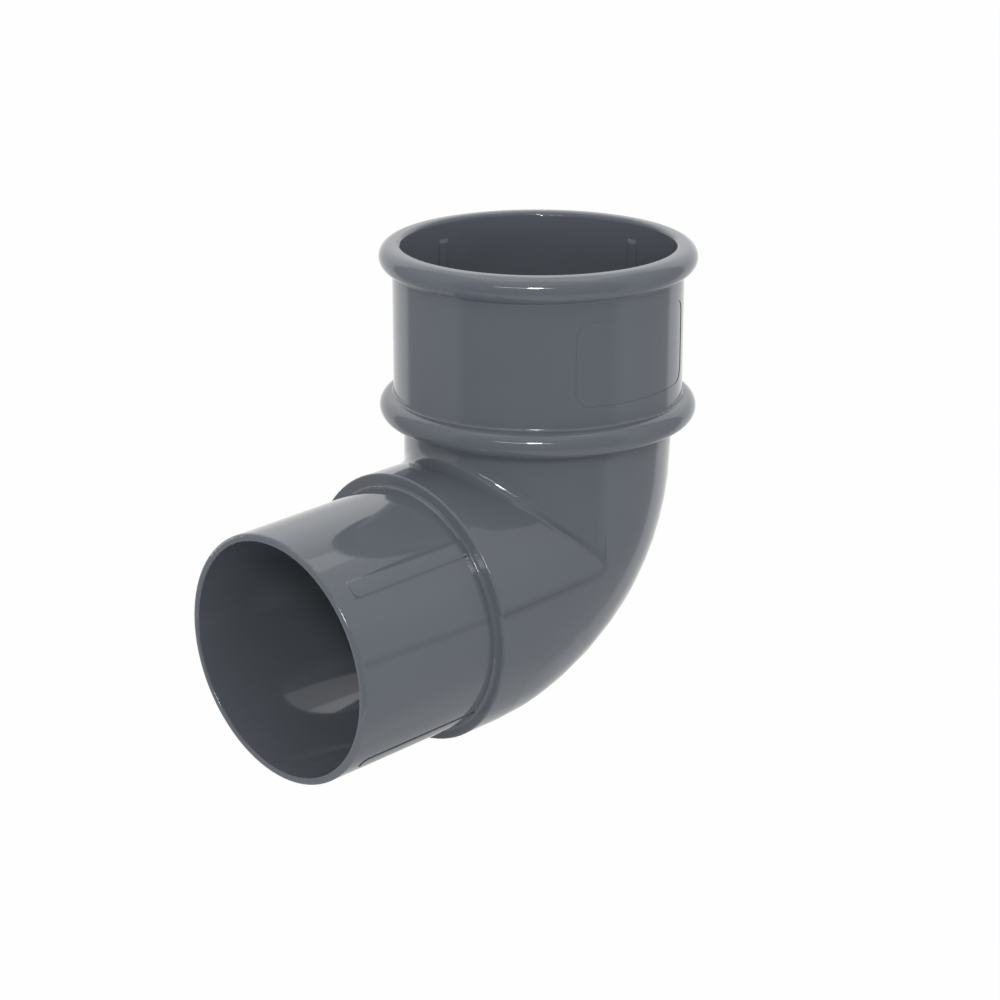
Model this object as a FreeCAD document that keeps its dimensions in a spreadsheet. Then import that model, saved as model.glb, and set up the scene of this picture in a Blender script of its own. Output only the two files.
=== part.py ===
import FreeCAD, Part
import Sketcher
import math
import os

# Downpipe offset bend: a socket that takes a round pipe from above, a tight elbow
# and a plain spigot that leads the water off sideways. One moulded piece.
# The origin is on the socket's axis at the seat that stops the pipe, Z points up
# out of the socket and the spigot leaves towards -X.

doc = FreeCAD.newDocument("offset_bend")

# Driving sizes in millimetres and degrees.
SIZES = {
    "bore_radius": 34.5,
    "bore_depth": 43.5,
    "socket_wall": 2.2,
    "mouth_rounding": 1.2,
    "rim_bead_offset": 0.05,
    "rim_bead_section": 3.3,
    "lower_bead_offset": 0.2,
    "lower_bead_section": 3.35,
    "lower_bead_height": 1.7,
    "bead_fillet": 0.8,
    "neck_inset": 0.3,
    "neck_join": 2.2,
    "neck_length": 5.08,
    "throat_gap": 2.8,
    "tube_dip": 1.1,
    "heel_depth": 1.87,
    "heel_lean": 1.4,
    "branch_slope": 2.5,
    "branch_straight": 10.6,
    "branch_proud_inner": 0.3,
    "branch_proud_outer": 0.7,
    "branch_root": 3.0,
    "ledge_height": 7.55,
    "throat_block": 9.2,
    "ledge_corner": 2.2,
    "crease_fillet": 4.2,
    "crease_fillet_end": 1.0,
    "shoulder_height": 2.7,
    "shoulder_rounding": 0.5,
    "spigot_length": 42.7,
    "spigot_root_fillet": 0.9,
    "spigot_lip_outer": 1.0,
    "spigot_lip_inner": 0.5,
    "spigot_wall_root": 2.25,
    "spigot_wall_tip": 1.9,
    "elbow_wall": 3.4,
    "rib_height": 0.2,
    "spigot_rib_width": 4.4,
    "socket_rib_width": 3.4,
    "rib_end_rounding": 1.5,
    "socket_rib_top": 5.6,
    "spigot_rib_end": 5.8,
    "panel_width": 37.8,
    "panel_height": 21.2,
    "panel_middle": 21.0,
    "panel_corner": 3.8,
    "panel_depth": 0.13,
    "overlap": 1.5,
    "cutter_size": 160.0,
}

# Sizes that follow from the driving ones.
FOLLOWING = {
    "wall_radius": "=bore_radius + socket_wall",
    "rim_bead_ring": "=bore_radius + socket_wall + rim_bead_offset",
    "lower_bead_ring": "=bore_radius + socket_wall + lower_bead_offset",
    "neck_radius": "=bore_radius - neck_inset",
    "turning_radius": "=bore_radius - neck_inset + throat_gap",
    "turn_angle": "=90 - branch_slope",
    "turn_tangent": "=turning_radius * tan(turn_angle / 2)",
    "branch_drop": "=neck_length + turn_tangent",
    "shoulder_reach": "=turn_tangent + branch_straight",
    "spigot_reach": "=shoulder_reach + spigot_length",
    "branch_radius_inner": "=neck_radius + branch_proud_inner",
    "branch_radius_outer": "=neck_radius + branch_proud_outer",
    "spigot_radius": "=neck_radius - shoulder_height",
    "spigot_bore_inner": "=spigot_radius - spigot_wall_root",
    "spigot_bore_tip": "=spigot_radius - spigot_wall_tip",
    "water_radius": "=neck_radius - elbow_wall",
}

sheet = doc.addObject("Spreadsheet::Sheet", "Sizes")
for row, (alias, value) in enumerate([*SIZES.items(), *FOLLOWING.items()], start=1):
    sheet.set(f"A{row}", alias)
    sheet.set(f"B{row}", str(value))
    sheet.setAlias(f"B{row}", alias)
doc.recompute()


def bind(obj, **expressions):
    """Ties properties of an object to the sheet; a double underscore stands for a dot."""
    for name, text in expressions.items():
        obj.setExpression(name.replace("__", "."), text)
    return obj


def make(kind, name, **expressions):
    return bind(doc.addObject("Part::" + kind, name), **expressions)


def at(obj, x="0", y="0", z="0"):
    """Puts an object's base point at sheet-driven coordinates of the common frame."""
    obj.setExpression("Placement.Base.x", x)
    obj.setExpression("Placement.Base.y", y)
    obj.setExpression("Placement.Base.z", z)
    return obj


def along_branch(obj, reach="0"):
    """Turns an object's own Z axis along the branch and starts it at a reach from the axes' crossing."""
    obj.Placement = FreeCAD.Placement(FreeCAD.Vector(0, 0, 0), FreeCAD.Rotation(FreeCAD.Vector(0, 1, 0), -92.5))
    obj.setExpression("Placement.Rotation.Angle", "-(90 + Sizes.branch_slope)")
    obj.setExpression("Placement.Base.x", f"-({reach}) * cos(Sizes.branch_slope)")
    obj.setExpression("Placement.Base.z", f"-Sizes.branch_drop - ({reach}) * sin(Sizes.branch_slope)")
    return obj


def fuse(name, *shapes):
    obj = doc.addObject("Part::MultiFuse", name)
    obj.Shapes = list(shapes)
    return obj


def common(name, *shapes):
    obj = doc.addObject("Part::MultiCommon", name)
    obj.Shapes = list(shapes)
    return obj


def cut(name, base, tool):
    obj = doc.addObject("Part::Cut", name)
    obj.Base = base
    obj.Tool = tool
    return obj


def round_edges(name, base, choose, radius, far_radius=None):
    """Rounds the edges of a base that a test picks; the second radius is for the edge's far end."""
    doc.recompute()
    picked = [n for n, edge in enumerate(base.Shape.Edges, start=1) if choose(edge)]
    assert picked, name
    obj = doc.addObject("Part::Fillet", name)
    obj.Base = base
    near = float(sheet.get(radius))
    far = float(sheet.get(far_radius)) if far_radius else near
    obj.Edges = [(n, near, far) for n in picked]
    return obj


def size(alias):
    return float(sheet.get(alias))


def circle_at(edge, radius, height, slack=0.02):
    """True for a level circle about the socket's axis with this radius and height."""
    curve = edge.Curve
    return (isinstance(curve, Part.Circle) and abs(curve.Radius - radius) < slack
            and abs(curve.Center.z - height) < slack and abs(curve.Axis.z) > 0.999)


# Socket: one turned outline with the bore, a bead at the mouth, a bead at the pipe seat
# and a short length of neck. The sketch stands in the XZ plane, radius across, height up.
def level_gap(reach, offset):
    """Height between two touching rounds whose centres lie this far apart and this much to the side."""
    return math.sqrt(reach ** 2 - offset ** 2)


def socket_outline():
    bead, rim, soft = size("lower_bead_section"), size("rim_bead_section"), size("bead_fillet")
    bead_at = (size("lower_bead_ring"), size("lower_bead_height"))
    rim_at = (size("rim_bead_ring"), size("bore_depth") - rim)
    below = size("neck_radius") + soft
    beside = size("wall_radius") + soft
    soft_low = (below, bead_at[1] - level_gap(bead + soft, below - bead_at[0]))
    soft_mid = (beside, bead_at[1] + level_gap(bead + soft, beside - bead_at[0]))
    soft_high = (beside, rim_at[1] - level_gap(rim + soft, beside - rim_at[0]))
    mouth, top, foot = size("mouth_rounding"), size("bore_depth"), -size("neck_join")
    mouth_at = (size("bore_radius") + mouth, top - mouth)

    def line(x1, y1, x2, y2):
        return Part.LineSegment(FreeCAD.Vector(x1, y1, 0), FreeCAD.Vector(x2, y2, 0))

    def arc(centre, radius, start, end):
        circle = Part.Circle(FreeCAD.Vector(*centre, 0), FreeCAD.Vector(0, 0, 1), radius)
        return Part.ArcOfCircle(circle, start, end)

    def bearing(start, end):
        return math.atan2(end[1] - start[1], end[0] - start[0])

    return [
        line(0, foot, size("neck_radius"), foot),
        line(size("neck_radius"), foot, size("neck_radius"), soft_low[1]),
        arc(soft_low, soft, bearing(soft_low, bead_at), math.pi),
        arc(bead_at, bead, bearing(bead_at, soft_low), bearing(bead_at, soft_mid)),
        arc(soft_mid, soft, math.pi, bearing(soft_mid, bead_at) + 2 * math.pi),
        line(size("wall_radius"), soft_mid[1], size("wall_radius"), soft_high[1]),
        arc(soft_high, soft, bearing(soft_high, rim_at), math.pi),
        arc(rim_at, rim, bearing(rim_at, soft_high), math.pi / 2),
        line(rim_at[0], top, mouth_at[0], top),
        arc(mouth_at, mouth, math.pi / 2, math.pi),
        line(size("bore_radius"), mouth_at[1], size("bore_radius"), 0),
        line(size("bore_radius"), 0, 0, 0),
        line(0, 0, 0, foot),
    ]


FOOT, NECK, SOFT_LOW, BEAD, SOFT_MID, WALL, SOFT_HIGH, RIM, TOP, MOUTH, BORE, SEAT, AXIS = range(13)
outline = doc.addObject("Sketcher::SketchObject", "outline")
outline.Placement = FreeCAD.Placement(FreeCAD.Vector(0, 0, 0), FreeCAD.Rotation(FreeCAD.Vector(1, 0, 0), 90))
outline.addGeometry(socket_outline(), False)
ORIGIN = -1
POINTS = ("", "start", "end", "centre")


def constraint(kind, *items):
    """A sketch constraint whose points are given by name."""
    return Sketcher.Constraint(kind, *[POINTS.index(item) if item in POINTS else item for item in items])


joints = [
    ("Coincident", FOOT, "end", NECK, "start"),
    ("Tangent", NECK, "end", SOFT_LOW, "end"),
    ("Tangent", SOFT_LOW, "start", BEAD, "start"),
    ("Tangent", BEAD, "end", SOFT_MID, "end"),
    ("Tangent", SOFT_MID, "start", WALL, "start"),
    ("Tangent", WALL, "end", SOFT_HIGH, "end"),
    ("Tangent", SOFT_HIGH, "start", RIM, "start"),
    ("Tangent", RIM, "end", TOP, "start"),
    ("Tangent", TOP, "end", MOUTH, "start"),
    ("Tangent", MOUTH, "end", BORE, "start"),
    ("Coincident", BORE, "end", SEAT, "start"),
    ("Coincident", SEAT, "end", AXIS, "start"),
    ("Coincident", AXIS, "end", FOOT, "start"),
    ("Coincident", SEAT, "end", ORIGIN, "start"),
    ("Horizontal", FOOT), ("Horizontal", TOP), ("Horizontal", SEAT),
    ("Vertical", NECK), ("Vertical", WALL), ("Vertical", BORE), ("Vertical", AXIS),
]
outline.addConstraint([constraint(*joint) for joint in joints])
drivers = [
    ("Radius", (SOFT_LOW,), "bead_fillet"), ("Radius", (SOFT_MID,), "bead_fillet"),
    ("Radius", (SOFT_HIGH,), "bead_fillet"), ("Radius", (MOUTH,), "mouth_rounding"),
    ("Radius", (BEAD,), "lower_bead_section"), ("Radius", (RIM,), "rim_bead_section"),
    ("DistanceX", (ORIGIN, "start", BEAD, "centre"), "lower_bead_ring"),
    ("DistanceY", (ORIGIN, "start", BEAD, "centre"), "lower_bead_height"),
    ("DistanceX", (ORIGIN, "start", RIM, "centre"), "rim_bead_ring"),
    ("DistanceY", (ORIGIN, "start", TOP, "start"), "bore_depth"),
    ("DistanceX", (ORIGIN, "start", NECK, "start"), "neck_radius"),
    ("DistanceX", (ORIGIN, "start", WALL, "start"), "wall_radius"),
    ("DistanceX", (ORIGIN, "start", BORE, "start"), "bore_radius"),
    ("DistanceY", (AXIS, "end", ORIGIN, "start"), "neck_join"),
]
for kind, points, alias in drivers:
    index = outline.addConstraint(constraint(kind, *points, size(alias)))
    outline.setExpression(f"Constraints[{index}]", f"Sizes.{alias}")
doc.recompute()
turned = doc.addObject("Part::Revolution", "turned")
turned.Source = outline
turned.Axis = FreeCAD.Vector(0, 0, 1)
turned.Base = FreeCAD.Vector(0, 0, 0)
turned.Angle = 360
turned.Solid = True

# The elbow's tube: oval sections along a quarter turn, a little narrower from side to side at mid-turn
# and deeper at the heel, most of all in the upper part of the turn.
STEPS = 8


def turn_sections():
    """Oval sections round the turn, from the neck's radius above to the same radius beyond it."""
    sections = []
    for step in range(STEPS + 1):
        angle = f"(Sizes.turn_angle * {step} / {STEPS})"
        swell = f"sin(180 * {step} / {STEPS}) ^ 2"
        heel = f"(Sizes.heel_depth + Sizes.heel_lean * cos(180 * {step} / {STEPS})) * {swell} / 2"
        oval = make("Ellipse", f"turn_{step}", MajorRadius=f"Sizes.neck_radius + {heel}",
                    MinorRadius=f"Sizes.neck_radius - Sizes.tube_dip * {swell}")
        oval.Placement = FreeCAD.Placement(FreeCAD.Vector(0, 0, 0), FreeCAD.Rotation(FreeCAD.Vector(0, 1, 0), 10))
        oval.setExpression("Placement.Rotation.Angle", angle)
        at(oval, x=f"(Sizes.turning_radius + {heel}) * cos({angle}) - Sizes.turning_radius",
           z=f"-Sizes.neck_length - (Sizes.turning_radius + {heel}) * sin({angle})")
        sections.append(oval)
    return sections


def loft(name, sections):
    obj = doc.addObject("Part::Loft", name)
    obj.Sections = sections
    obj.Solid = True
    obj.Ruled = False
    return obj


turn = loft("turn", turn_sections())
neck_straight = at(make("Cylinder", "neck_straight", Radius="Sizes.neck_radius",
                        Height="Sizes.neck_length - Sizes.neck_join"), z="-Sizes.neck_length")
branch_straight = along_branch(make("Cylinder", "branch_straight", Radius="Sizes.neck_radius",
                                    Height="Sizes.branch_straight"), "Sizes.turn_tangent")


def far_end(edge):
    """A circle about the branch at the shoulder."""
    box = edge.BoundBox
    across = 1.8 * size("neck_radius")
    return box.YLength > across and box.ZLength > across and box.XMax < -size("turn_tangent") - size("overlap")


branch_end = round_edges("branch_end", branch_straight, far_end, "shoulder_rounding")
tube = fuse("tube", neck_straight, turn, branch_end)

# Throat block: neck and upper branch meet here in a filleted mitre; it ends in a ledge
# along the branch, a little above mid-height, where the upper branch stands proud of the tube.
CUBE = {"Length": "Sizes.cutter_size", "Width": "Sizes.cutter_size", "Height": "Sizes.cutter_size"}
neck_side = at(make("Box", "neck_side", **CUBE),
               x="-Sizes.cutter_size - Sizes.throat_block", y="-Sizes.cutter_size / 2", z="-Sizes.cutter_size")
above_ledge = along_branch(make("Box", "above_ledge", **CUBE))
at(above_ledge, y="-Sizes.cutter_size / 2",
   x="-Sizes.ledge_height * sin(Sizes.branch_slope)",
   z="Sizes.ledge_height * cos(Sizes.branch_slope) - Sizes.branch_drop")
throat_square = common("throat_square", neck_side, above_ledge)


def ledge_end(edge):
    """The level edge where the ledge meets the end of the throat block."""
    box = edge.BoundBox
    return abs(box.XMax + size("throat_block")) < 0.01 and box.XLength < 0.01 and -size("branch_drop") < box.ZMax < -size("neck_length")


throat_region = round_edges("throat_region", throat_square, ledge_end, "ledge_corner")

near_half = at(make("Box", "near_half", **CUBE),
               x="-Sizes.cutter_size / 2", y="-Sizes.cutter_size", z="-Sizes.cutter_size")
throat_neck = at(make("Cylinder", "throat_neck", Radius="Sizes.neck_radius",
                      Height="Sizes.branch_drop + Sizes.neck_radius / 3 - Sizes.neck_join"),
                 z="-Sizes.branch_drop - Sizes.neck_radius / 3")
upper_branch = along_branch(make("Cone", "upper_branch", Radius1="Sizes.branch_radius_inner",
                                 Radius2="Sizes.branch_radius_outer",
                                 Height="Sizes.shoulder_reach - Sizes.branch_root"),
                            "Sizes.branch_root")
branch_rounded = round_edges("branch_rounded", upper_branch, far_end, "shoulder_rounding")
mitre = fuse("mitre", throat_neck, branch_rounded)
mitre_half = common("mitre_half", mitre, near_half)


def throat_crease(edge):
    """The concave curve where the branch leaves the neck, on the near half."""
    box = edge.BoundBox
    return (abs(box.YMax) < 0.2 and box.YMin < -0.8 * size("neck_radius")
            and box.ZMin > -size("branch_drop") and box.XMax < 0)


near_mitre = round_edges("near_mitre", mitre_half, throat_crease, "crease_fillet", "crease_fillet_end")
far_mitre = doc.addObject("Part::Mirroring", "far_mitre")
far_mitre.Source = near_mitre
far_mitre.Normal = FreeCAD.Vector(0, 1, 0)
whole_mitre = fuse("whole_mitre", near_mitre, far_mitre)
throat = common("throat", whole_mitre, throat_region)
heel = cut("heel", tube, throat_region)

# Spigot: a plain tube with a rounded lip, a small fillet at the shoulder and four low ribs.
spigot_tube = along_branch(make("Cylinder", "spigot_tube", Radius="Sizes.spigot_radius",
                                Height="Sizes.spigot_length + 2 * Sizes.overlap"),
                           "Sizes.shoulder_reach - 2 * Sizes.overlap")
shoulder_disc = along_branch(make("Cylinder", "shoulder_disc",
                                  Radius="Sizes.spigot_radius + Sizes.shoulder_height / 2 + Sizes.spigot_root_fillet / 2",
                                  Height="Sizes.overlap"),
                             "Sizes.shoulder_reach - Sizes.overlap")
spigot_plain = fuse("spigot_plain", spigot_tube, shoulder_disc)


def reach_of(point):
    """How far along the branch a point lies."""
    angle = math.radians(size("branch_slope"))
    return -point.x * math.cos(angle) - (point.z + size("branch_drop")) * math.sin(angle)


def branch_circle(edge, radius, reach):
    """A circle about the branch's axis with this radius at this reach."""
    return (isinstance(edge.Curve, Part.Circle) and abs(edge.Curve.Radius - radius) < 0.02
            and abs(reach_of(edge.Curve.Center) - reach) < 0.05)


spigot_rooted = round_edges(
    "spigot_rooted", spigot_plain,
    lambda edge: branch_circle(edge, size("spigot_radius"), size("shoulder_reach")), "spigot_root_fillet")
spigot_outside = round_edges(
    "spigot_outside", spigot_rooted,
    lambda edge: branch_circle(edge, size("spigot_radius"), size("spigot_reach")), "spigot_lip_outer")

# A bar right across the tube stands proud of it as a low rib on either side.
def far_corner(edge):
    """One of a bar's two long edges at the end near the spigot's tip."""
    return (abs(edge.Length - 2 * size("spigot_radius") - 2 * size("overlap")) < 0.01
            and reach_of(edge.CenterOfMass) > size("spigot_reach") - size("spigot_rib_end") - 0.1)


def spigot_bar(number, angle):
    """A bar across the branch, turned about its axis, with rounded corners at its far end."""
    bar = make("Box", f"spigot_bar_{number}", Length="2 * Sizes.spigot_radius + 2 * Sizes.overlap",
               Width="Sizes.spigot_rib_width", Height="Sizes.spigot_length - Sizes.spigot_rib_end + Sizes.overlap")
    turn = f"rotation(vector(0; 1; 0); -(90 + Sizes.branch_slope)) * rotation(vector(0; 0; 1); {angle})"
    reach = "(Sizes.shoulder_reach - Sizes.overlap)"
    foot = f"vector(-{reach} * cos(Sizes.branch_slope); 0; -Sizes.branch_drop - {reach} * sin(Sizes.branch_slope))"
    middle = "vector(Sizes.spigot_radius + Sizes.overlap; Sizes.spigot_rib_width / 2; 0)"
    bar.setExpression("Placement", f"placement({foot} - ({turn}) * {middle}; {turn})")
    return round_edges(f"spigot_bar_{number}_rounded", bar, far_corner, "rib_end_rounding")


spigot_bars = fuse("spigot_bars", spigot_bar(1, 45), spigot_bar(2, 135))
rib_sleeve = along_branch(make("Cylinder", "rib_sleeve", Radius="Sizes.spigot_radius + Sizes.rib_height",
                               Height="Sizes.spigot_length"),
                          "(Sizes.shoulder_reach - Sizes.overlap)")
spigot_ribs = common("spigot_ribs", rib_sleeve, spigot_bars)

# Shallow sunk panel on the socket's near side, left bare.
panel_slab = at(make("Box", "panel_slab", Length="Sizes.panel_width", Width="Sizes.wall_radius + Sizes.overlap",
                     Height="Sizes.panel_height"),
                x="-Sizes.panel_width / 2", y="-Sizes.wall_radius - Sizes.overlap",
                z="Sizes.panel_middle - Sizes.panel_height / 2")
panel_block = round_edges("panel_block", panel_slab,
                          lambda edge: edge.BoundBox.YLength > size("wall_radius"), "panel_corner")
panel_outer = at(make("Cylinder", "panel_outer", Radius="Sizes.wall_radius + Sizes.overlap", Height="Sizes.bore_depth"))
panel_inner = at(make("Cylinder", "panel_inner", Radius="Sizes.wall_radius - Sizes.panel_depth",
                      Height="Sizes.bore_depth"))
panel_ring = cut("panel_ring", panel_outer, panel_inner)
panel_tool = common("panel_tool", panel_ring, panel_block)
socket = cut("socket", turned, panel_tool)

# Waterway: straight down the neck, round the turn, then narrowing to the spigot's bore.
water_neck = at(make("Cylinder", "water_neck", Radius="Sizes.water_radius", Height="Sizes.neck_length + Sizes.overlap"), z="-Sizes.neck_length")
water_turn = make("Torus", "water_turn", Radius1="Sizes.turning_radius", Radius2="Sizes.water_radius",
                  Angle3="Sizes.turn_angle")
water_turn.Placement = FreeCAD.Placement(FreeCAD.Vector(0, 0, 0), FreeCAD.Rotation(FreeCAD.Vector(1, 0, 0), -90))
at(water_turn, x="-Sizes.turning_radius", z="-Sizes.neck_length")
water_end = along_branch(make("Cone", "water_end", Radius1="Sizes.water_radius",
                              Radius2="Sizes.spigot_bore_inner",
                              Height="Sizes.branch_straight"), "Sizes.turn_tangent")
waterway = fuse("waterway", water_neck, water_turn, water_end)
spigot_bore = along_branch(make("Cone", "spigot_bore", Radius1="Sizes.spigot_bore_inner",
                                Radius2="Sizes.spigot_bore_tip",
                                Height="Sizes.spigot_length"),
                           "Sizes.shoulder_reach")


outside = fuse("outside", heel, throat, spigot_outside, spigot_ribs, socket)
hollow = cut("hollow", outside, fuse("water", waterway, spigot_bore))
lipped = round_edges("lipped", hollow,
                     lambda edge: branch_circle(edge, size("spigot_bore_tip"), size("spigot_reach")),
                     "spigot_lip_inner")

# Four low ribs inside the socket grip the pipe; they end below the mouth.
rib_outer = at(make("Cylinder", "rib_outer", Radius="Sizes.bore_radius + Sizes.socket_wall / 2",
                    Height="Sizes.bore_depth"), z="-Sizes.overlap / 3")
rib_inner = at(make("Cylinder", "rib_inner", Radius="Sizes.bore_radius - Sizes.rib_height",
                    Height="Sizes.bore_depth"), z="-Sizes.overlap / 3")
rib_ring = cut("rib_ring", rib_outer, rib_inner)
ACROSS, RIB_WIDE = "2 * Sizes.bore_radius + Sizes.socket_wall * 2", "Sizes.socket_rib_width"


def top_corner(edge):
    """One of a bar's two long edges at its top."""
    return edge.Length > 2 * size("bore_radius") and edge.CenterOfMass.z > size("bore_depth") / 2


socket_bars = []
for name, length, width in (("socket_bar_x", ACROSS, RIB_WIDE), ("socket_bar_y", RIB_WIDE, ACROSS)):
    bar = at(make("Box", name, Length=length, Width=width,
                  Height="Sizes.bore_depth - Sizes.socket_rib_top + Sizes.overlap / 3"),
             x=f"-({length}) / 2", y=f"-({width}) / 2", z="-Sizes.overlap / 3")
    socket_bars.append(round_edges(f"{name}_rounded", bar, top_corner, "rib_end_rounding"))
rib_bundle = common("rib_bundle", rib_ring, fuse("socket_bars", *socket_bars))
part = fuse("offset_bend", lipped, rib_bundle)
part.Label = "offset_bend"

doc.recompute()
for obj in doc.Objects:
    assert not {"Invalid", "Error"} & set(obj.State), obj.Name
assert part.Shape.isValid() and len(part.Shape.Solids) == 1
os.makedirs("parts", exist_ok=True)
part.Shape.Solids[0].exportStep("parts/offset_bend.step")
box = part.Shape.BoundBox
print("volume", round(part.Shape.Volume), "faces", len(part.Shape.Faces))
print("box", [round(v, 2) for v in (box.XMin, box.XMax, box.YMin, box.YMax, box.ZMin, box.ZMax)])
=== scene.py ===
import math
import bpy
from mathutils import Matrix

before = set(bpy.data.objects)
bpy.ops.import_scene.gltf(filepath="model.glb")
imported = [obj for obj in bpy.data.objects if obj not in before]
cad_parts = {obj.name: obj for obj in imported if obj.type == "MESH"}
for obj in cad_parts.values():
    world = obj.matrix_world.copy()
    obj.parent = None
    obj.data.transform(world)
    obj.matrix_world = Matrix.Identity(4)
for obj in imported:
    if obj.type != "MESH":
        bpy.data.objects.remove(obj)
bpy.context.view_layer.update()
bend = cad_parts["offset_bend"]
print("frame loaded")

mixSockets = {"FLOAT": (2, 3, 0), "VECTOR": (4, 5, 1), "RGBA": (6, 7, 2)}  # both values in, result out
rayKinds = {"camera": 0, "glossy": 3, "transmission": 6}  # outputs of Light Path


# one socket with plain operators, so that shader maths reads as maths
class Wire:
    def __init__(self, tree, socket):
        self.tree = tree
        self.socket = socket

    def node(self, kind, settings, inputs, output=0):
        made = self.tree.nodes.new(kind)
        for name, value in settings.items():
            setattr(made, name, value)
        for name, value in inputs.items():
            if isinstance(value, Wire):
                self.tree.links.new(value.socket, made.inputs[name])
            else:
                made.inputs[name].default_value = value
        return Wire(self.tree, made.outputs[output] if len(made.outputs) else None)

    def maths(self, operation, *values):
        return self.node("ShaderNodeMath", {"operation": operation}, dict(enumerate(values)))

    def __add__(self, other):
        return self.maths("ADD", self, other)

    def __radd__(self, other):
        return self.maths("ADD", other, self)

    def __sub__(self, other):
        return self.maths("SUBTRACT", self, other)

    def __rsub__(self, other):
        return self.maths("SUBTRACT", other, self)

    def __mul__(self, other):
        return self.maths("MULTIPLY", self, other)

    def __rmul__(self, other):
        return self.maths("MULTIPLY", other, self)

    def size(self):
        return self.maths("ABSOLUTE", self)

    def sign(self):
        return self.maths("SIGN", self)

    def root(self):
        return self.maths("SQRT", self)

    def least(self, other):
        return self.maths("MINIMUM", self, other)

    def soft(self, low, high, start=0.0, end=1.0):
        return self.node("ShaderNodeMapRange", {"interpolation_type": "SMOOTHSTEP"},
                         {"Value": self, "From Min": low, "From Max": high, "To Min": start, "To Max": end})

    def window(self, middle, half, fade):  # 1 close to the middle, 0 further off
        return (self - middle).size().soft(half + fade, half - fade)

    def between(self, first, second, kind="FLOAT"):  # the first value at 0, the second at 1
        one, two, result = mixSockets[kind]
        return self.node("ShaderNodeMix", {"data_type": kind}, {0: self, one: first, two: second}, result)

    def vector(self, operation, *values, output=0):
        return self.node("ShaderNodeVectorMath", {"operation": operation}, dict(enumerate(values)), output)

    def unit(self):
        return self.vector("NORMALIZE", self)

    def length(self):
        return self.vector("LENGTH", self, output=1)

    def dot(self, direction):
        return self.vector("DOT_PRODUCT", self, direction, output=1)

    def level(self):  # the part of a vector that lies level
        return self.vector("MULTIPLY", self, (1, 1, 0))

    def lean(self, towards, amount):
        shift = self.node("ShaderNodeVectorMath", {"operation": "SCALE"}, {0: towards, "Scale": amount})
        return self.vector("ADD", self, shift)

    def axis(self, index):
        return self.node("ShaderNodeSeparateXYZ", {}, {0: self}, index)

    def ray(self, kind):
        return self.node("ShaderNodeLightPath", {}, {}, rayKinds[kind])


def freshTree(block):
    block.use_nodes = True
    block.node_tree.nodes.clear()
    return Wire(block.node_tree, None)


# The material's lengths are in metres on the part's own axes, as in the frame. A pair runs from
# where a thing isn't there to where it is in full. Tilts are slopes that soft edges and shallow
# steps give to the surface, and shades are shares of black painted into the colour as shade.
plastic = {"colour": (0.107, 0.119, 0.138, 1), "roughness": 0.07, "roughnessSpread": 0.015, "ior": 1.5,
           "cloudScale": 60.0, "cloudDetail": 3.0, "cloudFade": (0.3, 0.7), "cloudTone": 0.03}

# the branch: its axis starts on the socket's axis; skins are offsets from the spigot's radius
branch = {"drop": -0.0405, "slope": 2.5, "shoulder": 0.04602, "spigotRadius": 0.0315,
          "spigotSkin": (-0.0006, -0.0004), "bodySkin": (0.0005, 0.0010),
          "spigotStart": (0.0010, 0.0012), "spigotEnd": (0.0414, 0.0412)}

# the flank, where the neck's round runs into the turn behind the throat
flank = {"start": -0.0092, "length": 0.014, "before": 0.012, "beforeFade": 0.001, "lean": 0.06,
         "top": -0.004, "topFade": 0.002, "foot": -0.030, "footFade": 0.004, "creaseFade": 0.002,
         "skin": (0.0318, 0.0324)}

# the ledge beside the throat, a soft step with a rounded corner
ledge = {"height": 0.00755, "end": 0.0090, "corner": 0.0022, "middle": 0.0003, "half": 0.0012, "fade": 0.0010,
         "upperFade": (0.0120, 0.0100), "shoulderFade": (-0.0006, -0.0012), "tilt": 0.15, "shade": 0.15}

# the seam that carries on from the ledge along the spigot
seam = {"height": 0.0060, "rise": 0.028, "half": 0.0008, "fade": 0.0008, "tilt": 0.10, "shade": 0.12}

# the crease above the ledge, a hollow with a lit edge below it
crease = {"innerFade": (0.0088, 0.0100), "outerFade": (0.028, 0.018),
          "hollow": 0.0010, "hollowHalf": 0.0006, "hollowFade": 0.0008, "hollowTilt": 0.30, "shade": 0.22,
          "edge": -0.0004, "edgeHalf": 0.0002, "edgeFade": 0.0003, "edgeTilt": 0.35}

# low ribs on the spigot's upper half
spigotRib = {"half": 0.0022, "sideHalf": 0.0005, "sideFade": 0.0005, "end": 0.0829, "endHalf": 0.0002,
             "endFade": 0.0004, "upperHalf": (0.0, 0.001), "tilt": 0.20, "endTilt": 0.30, "shade": 0.06}

# four ribs inside the socket
socketRib = {"half": 0.0012, "sideHalf": 0.0002, "top": 0.0379, "topHalf": 0.0004, "fade": 0.0004,
             "skin": (0.0348, 0.0346), "seat": (0.0, 0.0005), "tilt": 0.5, "topTilt": 1.0}

diagonal = math.sqrt(0.5)


def withFlank(normal, place, x, z):
    start = flank["start"]
    before = start - flank["before"]
    creaseLine = flank["foot"] + start
    neckRound = place.level().unit()
    neckRound = neckRound.lean((1, 0, 0), x.soft(before, start, 0.0, flank["lean"]))
    band = x.soft(start, start + flank["length"], 1.0, 0.0) * x.soft(before - flank["beforeFade"], before)
    band = band * z.soft(flank["top"], flank["top"] - flank["topFade"])
    band = band * z.soft(flank["foot"] - flank["footFade"], flank["foot"] + flank["footFade"])
    band = band * (z + x).soft(creaseLine, creaseLine + flank["creaseFade"])
    band = band * place.level().length().soft(*flank["skin"])
    return band.between(normal, neckRound, "VECTOR")


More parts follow.
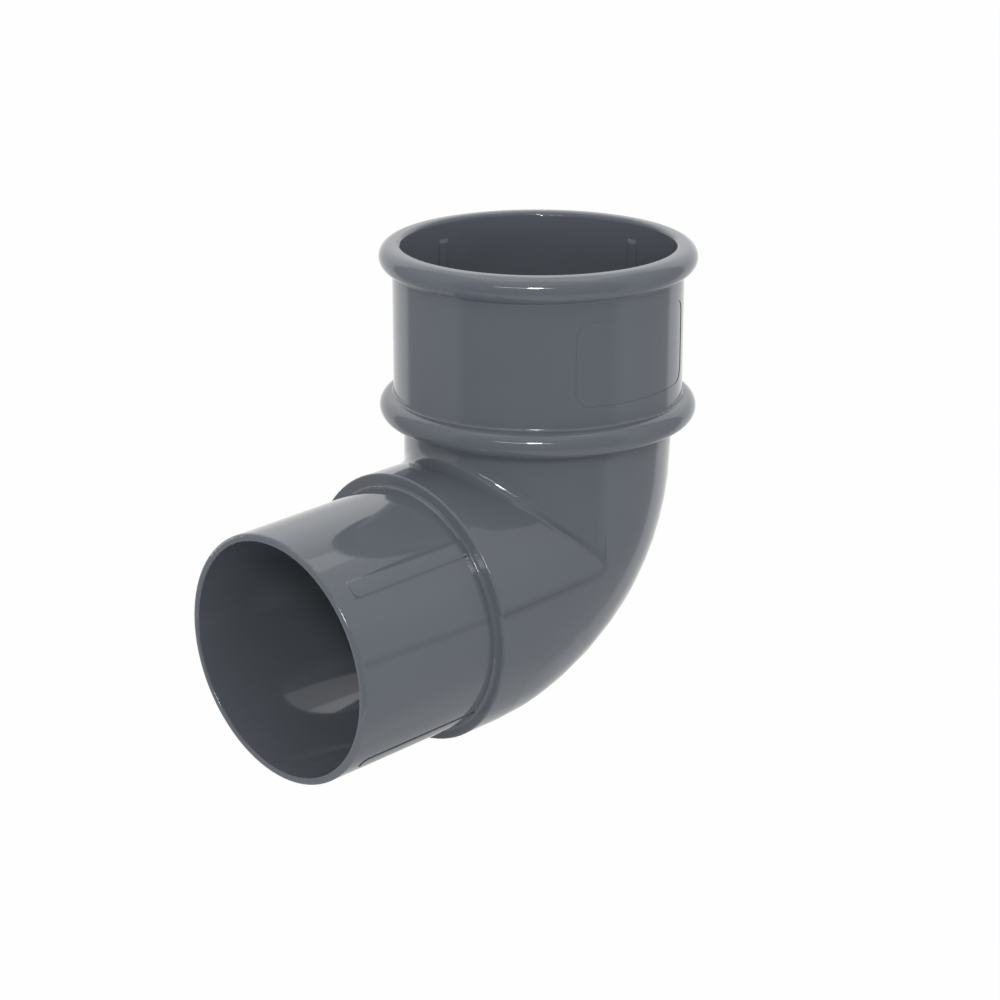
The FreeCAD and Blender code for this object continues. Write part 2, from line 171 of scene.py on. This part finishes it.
def atLedge(reach, above, onBody):
    corner = ledge["corner"]
    inward = (reach - (ledge["end"] + corner)).least(0.0)
    upward = (above - (ledge["height"] + corner)).least(0.0)
    below = (inward * inward + upward * upward).root() - corner
    found = below.window(ledge["middle"], ledge["half"], ledge["fade"])
    found = found * above.soft(*ledge["upperFade"]) * onBody
    return found * reach.soft(*[branch["shoulder"] + fade for fade in ledge["shoulderFade"]])


def withSpigotRibs(normal, reach, above, y, along, onSpigot):
    off = (above - y.size()) * diagonal
    onRib = onSpigot * above.soft(*spigotRib["upperHalf"])
    side = off.size().window(spigotRib["half"], spigotRib["sideHalf"], spigotRib["sideFade"])
    side = side * reach.soft(spigotRib["end"] + spigotRib["endFade"], spigotRib["end"])
    across = y.node("ShaderNodeCombineXYZ", {}, {0: 0.0, 1: 0.0 - y.sign(), 2: 1.0})
    normal = normal.lean(across, side * off.sign() * onRib * (spigotRib["tilt"] * diagonal))
    tip = reach.window(spigotRib["end"], spigotRib["endHalf"], spigotRib["endFade"])
    tip = tip * off.size().soft(spigotRib["half"] + spigotRib["endFade"], spigotRib["half"])
    return normal.lean(along, tip * onRib * spigotRib["endTilt"]), side * onRib


def withSocketRibs(normal, place, x, y, z):
    inBore = place.level().length().soft(*socketRib["skin"]) * z.soft(*socketRib["seat"])
    quarter = x.maths("GREATER_THAN", x.size(), y.size())
    off = x.size().least(y.size())
    fade = socketRib["fade"]
    across = x.node("ShaderNodeCombineXYZ", {}, {0: x.sign() * (1 - quarter), 1: y.sign() * quarter, 2: 0.0})
    side = off.window(socketRib["half"], socketRib["sideHalf"], fade)
    side = side * z.soft(socketRib["top"] + fade, socketRib["top"])
    normal = normal.lean(across, side * inBore * socketRib["tilt"])
    tip = z.window(socketRib["top"], socketRib["topHalf"], fade)
    tip = tip * off.soft(socketRib["half"] + fade, socketRib["half"])
    return normal.lean((0, 0, 1), tip * inBore * socketRib["topTilt"])


def mouldedPlastic():
    material = bpy.data.materials.new("mouldedGreyPlastic")
    start = freshTree(material)
    place = start.node("ShaderNodeTexCoord", {}, {}, 3)
    x, y, z = [place.axis(index) for index in range(3)]
    cloud = start.node("ShaderNodeTexNoise", {}, {
        "Vector": place, "Scale": plastic["cloudScale"], "Detail": plastic["cloudDetail"]})
    low, high = plastic["cloudFade"]
    rough = cloud.soft(low, high, plastic["roughness"] - plastic["roughnessSpread"],
                       plastic["roughness"] + plastic["roughnessSpread"])
    normal = start.node("ShaderNodeNewGeometry", {}, {}, 1)
    normal = withFlank(normal, place, x, z)

    # places along the branch, above its axis and out from it
    slope = math.radians(branch["slope"])
    along = (-math.cos(slope), 0, -math.sin(slope))
    upright = (-math.sin(slope), 0, math.cos(slope))
    fromAxis = place.vector("SUBTRACT", place, (0, 0, branch["drop"]))
    reach = fromAxis.dot(along)
    above = fromAxis.dot(upright)
    outward = fromAxis.lean(along, 0.0 - reach)
    fromBranch = outward.length()
    spigotSkin, bodySkin = [[branch["spigotRadius"] + fade for fade in branch[name]]
                            for name in ("spigotSkin", "bodySkin")]
    spigotStart, spigotEnd = [[branch["shoulder"] + fade for fade in branch[name]]
                              for name in ("spigotStart", "spigotEnd")]
    onBody = fromBranch.soft(*bodySkin)
    onSpigot = fromBranch.soft(*spigotSkin) * reach.soft(*spigotStart) * reach.soft(*spigotEnd)
    normal = onSpigot.between(normal, outward.unit(), "VECTOR")

    # the ledge, the seam and the crease face down a little, the crease's lower edge up
    step = atLedge(reach, above, onBody)
    overSeam = above - (reach - branch["shoulder"]) * seam["rise"]
    line = overSeam.window(seam["height"], seam["half"], seam["fade"]) * onSpigot
    inCrease = reach.soft(*crease["innerFade"]) * reach.soft(*crease["outerFade"]) * onBody
    fold = (above - reach) * diagonal
    hollow = fold.window(crease["hollow"], crease["hollowHalf"], crease["hollowFade"]) * inCrease
    edge = fold.window(crease["edge"], crease["edgeHalf"], crease["edgeFade"]) * inCrease
    tilt = step * ledge["tilt"] + line * seam["tilt"] + hollow * crease["hollowTilt"]
    tilt = tilt - edge * crease["edgeTilt"]
    normal = normal.lean(upright, 0.0 - tilt)

    normal, ribSide = withSpigotRibs(normal, reach, above, y, along, onSpigot)
    normal = withSocketRibs(normal, place, x, y, z)

    # painted shade: the ledge, the seam, the crease's hollow and the spigot ribs' sides are darkened in the
    # base colour
    shade = step * ledge["shade"] + line * seam["shade"] + hollow * crease["shade"]
    shade = shade + ribSide * spigotRib["shade"]
    # the noise mottle is the plastic's own random tone; the rest is painted shade
    mottleAndPaintedShade = cloud.soft(low, high) * plastic["cloudTone"] + shade
    colour = mottleAndPaintedShade.between(plastic["colour"], (0, 0, 0, 1), "RGBA")
    shader = start.node("ShaderNodeBsdfPrincipled", {}, {
        "Base Color": colour, "Roughness": rough, "IOR": plastic["ior"], "Normal": normal.unit()})
    start.node("ShaderNodeOutputMaterial", {}, {"Surface": shader})
    return material


greyPlastic = mouldedPlastic()
bend.data.materials.clear()
bend.data.materials.append(greyPlastic)
print("plastic dressed")

# the camera, fitted to the photograph's outlines
view = {"azimuth": -44.585, "elevation": 18.584, "place": (-0.4696, -0.4628, 0.1969), "lens": 96.96,
        "sensor": 36}
azimuth = math.radians(view["azimuth"])
bpy.ops.object.camera_add(location=view["place"],
                          rotation=(math.radians(90 - view["elevation"]), 0, azimuth))
camera = bpy.context.object
camera.name = "photoCamera"
camera.data.lens = view["lens"]
camera.data.sensor_width = view["sensor"]
scene = bpy.context.scene
scene.camera = camera
scene.view_settings.view_transform = "Standard"

# A white studio, darker round the camera. Each band that the gloss sees has its level in front,
# at the sides and behind, and passes into the next between two heights.
room = {"level": (0.04, 0.45, 1.10), "low": (0.12, 0.50, 0.70), "under": (0.72, 0.62, 0.50),
        "high": (0.25, 0.65, 1.50), "top": (0.80, 1.00, 0.95),
        "sideEdge": (71, 56), "backEdge": (129, 121)}  # degrees round from the camera
bandHeights = {"low": (-0.32, -0.60), "under": (-0.60, -0.80), "high": (0.15, 0.5), "top": (0.68, 0.88)}

# bright strips that the gloss sees: one above the camera, a faint one low down
strip = {"height": 0.469, "fade": (0.040, 0.025), "front": (0.6, 0.7), "left": (-0.56, -0.52),
         "right": (0.21, 0.15), "strength": 7.0}
lowStrip = {"height": -0.625, "fade": (0.035, 0.020), "front": (0.45, 0.6), "strength": 0.9}

# what the matt part sees: darker low in front and on the left, brighter low on the right and
# behind, as if a white table threw light up
spread = {"level": 0.76, "shade": 0.70, "turn": 0.35, "shadeFront": (0.1, 0.5), "shadeTop": (-0.02, -0.18),
          "shadeFoot": (-0.8, -0.6), "table": 1.6, "tableSide": (0.2, 1.2), "tableTop": (0.15, -0.3)}

world = bpy.data.worlds.new("studio")
scene.world = world
start = freshTree(world)
direction = start.node("ShaderNodeTexCoord", {}, {}, 0)
flat = direction.level().unit()
towards = flat.dot((math.sin(azimuth), -math.cos(azimuth), 0))
sideways = flat.dot((math.cos(azimuth), math.sin(azimuth), 0))
height = direction.axis(2)
sideEdge = [math.cos(math.radians(angle)) for angle in room["sideEdge"]]
backEdge = [math.cos(math.radians(angle)) for angle in room["backEdge"]]
away = towards.soft(*sideEdge, 1.0, 0.0)
behind = towards.soft(*backEdge, 1.0, 0.0)


def band(name):
    front, side, back = room[name]
    return away * (side - front) + behind * (back - side) + front


mirrored = band("level")
for name, heights in bandHeights.items():
    mirrored = height.soft(*heights).between(mirrored, band(name))
shine = (height - strip["height"]).size().soft(*strip["fade"]) * towards.soft(*strip["front"])
shine = shine * sideways.soft(*strip["left"]) * sideways.soft(*strip["right"])
lowShine = (height - lowStrip["height"]).size().soft(*lowStrip["fade"]) * towards.soft(*lowStrip["front"])
mirrored = mirrored + shine * strip["strength"] + lowShine * lowStrip["strength"]
frontLeft = (towards - sideways * spread["turn"]).soft(*spread["shadeFront"])
shaded = frontLeft * height.soft(*spread["shadeTop"]) * height.soft(*spread["shadeFoot"])
lit = (sideways - towards).soft(*spread["tableSide"]) * height.soft(*spread["tableTop"])
matt = spread["level"] - shaded * spread["shade"] + lit * spread["table"]
strength = start.ray("glossy").between(matt, mirrored)
seen = start.ray("camera") + start.ray("transmission")
strength = seen.between(strength, 1.0)
glow = start.node("ShaderNodeBackground", {}, {"Color": (1, 1, 1, 1), "Strength": strength})
start.node("ShaderNodeOutputWorld", {}, {"Surface": glow})

# a pale floor well below the part, as it hangs from its socket; it keeps a trace of soft shadow
ground = {"height": -0.75, "size": 14.0, "colour": (0.8, 0.8, 0.8, 1), "roughness": 0.8, "glow": 0.97}
bpy.ops.mesh.primitive_plane_add(size=ground["size"], location=(0, 0, ground["height"]))
floor = bpy.context.object
floor.name = "paleFloor"
paint = bpy.data.materials.new("paleFloor")
start = freshTree(paint)
matt = start.node("ShaderNodeBsdfPrincipled", {}, {
    "Base Color": ground["colour"], "Roughness": ground["roughness"]})
white = start.node("ShaderNodeEmission", {}, {"Color": (1, 1, 1, 1), "Strength": 1.0})
clear = start.node("ShaderNodeBsdfTransparent", {}, {})
seen = (start.ray("camera") + start.ray("transmission")) * ground["glow"]
shown = start.node("ShaderNodeMixShader", {}, {0: seen, 1: matt, 2: white})
shown = start.node("ShaderNodeMixShader", {}, {0: start.ray("glossy"), 1: shown, 2: clear})
start.node("ShaderNodeOutputMaterial", {}, {"Surface": shown})
floor.data.materials.append(paint)

# lamps, by their angles from the camera: one above it, two fills that the gloss doesn't see,
# and a wide one overhead; strength is the brightness of a lamp's face
lamps = {
    "keyLamp": {"azimuth": -3.0, "elevation": 30.0, "distance": 1.6, "size": (0.26, 0.26), "strength": 29.0},
    "leftFill": {"azimuth": -42.0, "elevation": 6.0, "distance": 1.6, "size": (0.4, 0.3), "strength": 12.0},
    "rightFill": {"azimuth": 75.0, "elevation": 10.0, "distance": 1.6, "size": (0.4, 0.3), "strength": 10.0},
    "overheadLamp": {"azimuth": 180.0, "elevation": 78.0, "distance": 1.4, "size": (1.2, 1.0),
                     "strength": 0.9},
}
lampDrop = -0.02  # the lamps aim a little below the frame's origin
for name, lamp in lamps.items():
    turn = azimuth + math.radians(lamp["azimuth"])
    lift = math.radians(lamp["elevation"])
    level = lamp["distance"] * math.cos(lift)
    place = (level * math.sin(turn), -level * math.cos(turn), lamp["distance"] * math.sin(lift) + lampDrop)
    bpy.ops.object.light_add(type="AREA", location=place, rotation=(math.pi / 2 - lift, 0, turn))
    made = bpy.context.object
    made.name = name
    made.data.shape = "RECTANGLE"
    made.data.size, made.data.size_y = lamp["size"]
    made.data.energy = lamp["strength"] * lamp["size"][0] * lamp["size"][1] * math.pi
    made.visible_glossy = "Fill" not in name
print("studio lit")
